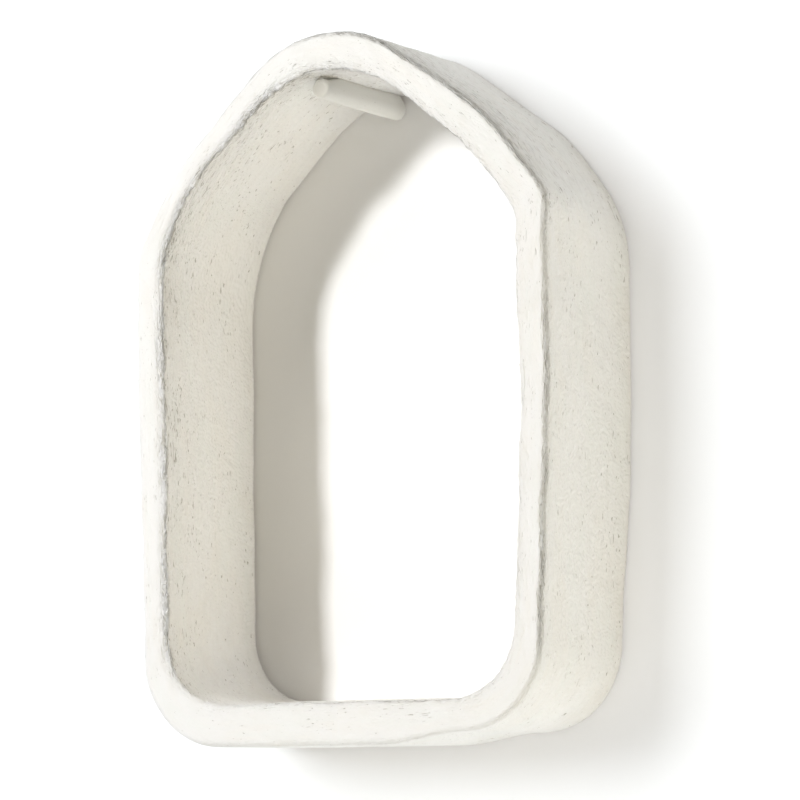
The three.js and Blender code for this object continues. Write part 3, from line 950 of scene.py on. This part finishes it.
# The stage: a wall that the niche hangs on, in one piece behind the niche and one around it, and a floor
# well below. The wall starts a gap behind the rim and lets pass what starts nearer than WALL_PASS.
WALL_GAP = 0.0005
WALL_PASS = 0.0012
WALL_GROWTH = 13.0
FLOOR_SIZE = 6.0
FLOOR_Z = -1.7
FLOOR_ROUGHNESS = 0.95
FLOOR_GLOSS = 0.1


def pale_floor():
    """Matt pale paint, the same all over."""
    look = Shading("pale floor")
    plain = {"Base Color": (*FLOOR, 1), "Roughness": FLOOR_ROUGHNESS, "Specular IOR Level": FLOOR_GLOSS}
    return look.end(look.add("ShaderNodeBsdfPrincipled", plain))


def one_sided_wall():
    """A wall seen from the room only, so that the niche can be looked at from behind as well. It lets pass
    what starts right at it, which lights the rim that rests on it."""
    look = Shading("pale wall")
    behind = look.add("ShaderNodeNewGeometry", {}, "Backfacing")
    length = look.add("ShaderNodeLightPath", {}, "Ray Length")
    near_it = look.add("ShaderNodeMath", {0: length, 1: WALL_PASS}, operation="LESS_THAN")
    clear = look.add("ShaderNodeMath", {0: behind, 1: near_it}, operation="MAXIMUM")
    plain = look.add("ShaderNodeBsdfDiffuse", {"Color": (*WALL, 1)})
    through = look.add("ShaderNodeBsdfTransparent", {})
    mixed = look.add("ShaderNodeMixShader", {0: clear, 1: plain, 2: through})
    return look.end(mixed)


def stage_piece(name, points, faces, material):
    """A piece of the stage, which isn't part of the niche."""
    mesh = bpy.data.meshes.new(name)
    mesh.from_pydata(points, [], faces)
    mesh.materials.append(material)
    piece = bpy.data.objects.new(name, mesh)
    bpy.context.scene.collection.objects.link(piece)
    return piece


def make_stage():
    """The wall, divided along the middle of the rim that rests on it, where the division can't be seen, and
    the floor."""
    wall_y = SHELL_HIGH.y + WALL_GAP
    hoop = plain_shell()[0]
    seam = np.mean(hoop[:, -BACK_RIM_STEPS - BACK_EDGE_STEPS:-BACK_EDGE_STEPS], axis=1)[:, [0, 2]]
    centre = np.mean(seam, axis=0)
    x, z = (seam - centre).T
    anticlockwise = np.sum(x * np.roll(z, -1) - z * np.roll(x, -1)) > 0
    if not anticlockwise:
        seam = seam[::-1]
    border = centre + (seam - centre) * WALL_GROWTH
    count = len(seam)
    inner = [(x, wall_y, z) for x, z in seam]
    outer = [(x, wall_y, z) for x, z in border]
    around = [(i, i + count, (i + 1) % count + count, (i + 1) % count) for i in range(count)]
    half, front = FLOOR_SIZE / 2, wall_y - FLOOR_SIZE
    ground = [(x, y, FLOOR_Z) for x, y in ((-half, front), (half, front), (half, wall_y), (-half, wall_y))]
    wall = one_sided_wall()
    return {
        "inside": stage_piece("wall_behind", inner, [tuple(range(count))], wall),
        "around": stage_piece("wall_around", inner + outer, around, wall),
        "floor": stage_piece("floor", ground, [(0, 1, 2, 3)], pale_floor()),
    }


# Lamps that all point at the middle of the niche: degrees to the right and up, distance, width, height, the
# light that each throws on a surface that faces it, and what it lights. The wall around the niche has softer
# light of its own, which lets the niche's shadow on it fade out.
MIDDLE = Vector((0, 0, HEIGHT / 2))
WHOLE_NICHE = ("niche", "peg", "inside")
LAMPS = {
    "key": (-30.3, 15, 3.0, 0.28, 0.40, (1.27, 1.34, 1.45), ("niche", "inside")),
    "right": (75, 0, 3.0, 1.2, 1.2, (0.10, 0.09, 0.07), ("niche", "inside")),
    "low_right": (60, -25, 2.6, 1.2, 1.2, (0.40, 0.355, 0.225), ("niche", "inside")),
    "front_right": (40, 0, 3.0, 1.2, 1.2, (0.72, 0.69, 0.635), ("niche",)),
    "left": (-60, 10, 3.0, 1.2, 1.2, (0.58, 0.56, 0.60), WHOLE_NICHE),
    "high_left": (-30, 45, 3.0, 1.2, 1.2, (1.02, 0.97, 0.88), (*WHOLE_NICHE, "floor")),
    "behind": (150, 35, 3.0, 1.5, 1.5, (2.20, 2.15, 2.25), (*WHOLE_NICHE, "floor")),
    "peg_front": (-5, -20, 3.0, 0.6, 0.6, (1.15, 1.12, 1.00), ("peg",)),
    "inside_key": (-30.3, 15, 3.0, 0.28, 0.40, (1.07, 1.04, 1.00), ("inside",)),
    "over_floor": (0, 80, 3.0, 2.0, 2.0, (1.80, 1.78, 1.72), ("floor",)),
    "wall_soft": (-26.7, 14.7, 3.0, 1.8, 1.8, (2.68, 2.87, 3.07), ("around", "floor")),
    "wall_front": (10, 5, 3.0, 1.5, 1.5, (0.57, 0.59, 0.62), ("around", "floor")),
    "wall_low_right": (60, -25, 2.6, 1.2, 1.2, (0.98, 0.98, 0.98), ("around", "floor")),
    "wall_high_left": (-30, 45, 3.0, 1.2, 1.2, (0.24, 0.22, 0.22), ("around", "floor")),
}
ROOM = (0.085, 0.081, 0.070)
BACKGROUND = (0.930, 0.925, 0.910)


def aim(thing, position, target, roll=0.0):
    """Puts a lamp or camera at a position and points it at a target."""
    back = (position - target).normalized()
    right = Vector((0, 0, 1)).cross(back).normalized()
    up = back.cross(right)
    turned_right = right * math.cos(roll) + up * math.sin(roll)
    turned_up = up * math.cos(roll) - right * math.sin(roll)
    turned = Matrix((turned_right, turned_up, back)).transposed()
    thing.matrix_world = Matrix.Translation(position) @ turned.to_4x4()


def make_lamp(name, pieces):
    """One lamp of the table, linked to the pieces that it lights."""
    right, rise, distance, width, height, light, lit_names = LAMPS[name]
    right, rise = math.radians(right), math.radians(rise)
    towards = Vector((math.sin(right) * math.cos(rise), -math.cos(right) * math.cos(rise), math.sin(rise)))
    lamp = bpy.data.lights.new(name, "AREA")
    lamp.shape = "RECTANGLE"
    lamp.size, lamp.size_y = width, height
    lamp.energy = max(light) * math.pi * distance ** 2
    lamp.color = [part / max(light) for part in light]
    holder = bpy.data.objects.new(name, lamp)
    bpy.context.scene.collection.objects.link(holder)
    holder.visible_camera = False
    aim(holder, MIDDLE + towards * distance, MIDDLE)
    lit = bpy.data.collections.new("lit_by_" + name)
    for lit_name in lit_names:
        lit.objects.link(pieces[lit_name])
    holder.light_linking.receiver_collection = lit


def make_light(pieces):
    """Weak light from all around, a pale background, and the lamps."""
    world = bpy.data.worlds.new("room")
    world.use_nodes = True
    tree = world.node_tree
    seen = tree.nodes.new("ShaderNodeLightPath").outputs["Is Camera Ray"]
    light, backdrop = tree.nodes["Background"], tree.nodes.new("ShaderNodeBackground")
    light.inputs["Color"].default_value = (*ROOM, 1)
    backdrop.inputs["Color"].default_value = (*BACKGROUND, 1)
    choice = tree.nodes.new("ShaderNodeMixShader")
    for source, socket in ((seen, 0), (light.outputs[0], 1), (backdrop.outputs[0], 2)):
        tree.links.new(source, choice.inputs[socket])
    tree.links.new(choice.outputs[0], tree.nodes["World Output"].inputs["Surface"])
    bpy.context.scene.world = world
    for name in LAMPS:
        make_lamp(name, pieces)


# Camera, as fitted to the outlines of the niche in the photograph
LENS = 166.24
SENSOR = 36
AZIMUTH = math.radians(31.578)
ELEVATION = math.radians(-6.022)
ROLL = math.radians(-0.5437)
AIM_POINT = Vector((0.0657 + SHIFT_X, -0.0715, 0.28784))
CAMERA_DISTANCE = 3.1013


def make_camera():
    """The camera at the photograph's viewing angle."""
    lens = bpy.data.cameras.new("camera")
    lens.lens = LENS
    lens.sensor_width = SENSOR
    lens.sensor_fit = "HORIZONTAL"
    holder = bpy.data.objects.new("camera", lens)
    bpy.context.scene.collection.objects.link(holder)
    back = Vector((math.sin(AZIMUTH) * math.cos(ELEVATION), -math.cos(AZIMUTH) * math.cos(ELEVATION),
                   math.sin(ELEVATION)))
    aim(holder, AIM_POINT + back * CAMERA_DISTANCE, AIM_POINT, ROLL)
    bpy.context.scene.camera = holder


shell = make_shell()
vertices = [vertex.co for vertex in shell.data.vertices]
polygons = [polygon.vertices for polygon in shell.data.polygons]
peg = make_peg(BVHTree.FromPolygons(vertices, polygons))
shell.data.materials.append(papier_mache())
peg.data.materials.append(painted_wood())
make_light({"niche": shell, "peg": peg, **make_stage()})
make_camera()
bpy.context.scene.view_settings.view_transform = "Standard"
bpy.context.scene.view_settings.look = "None"
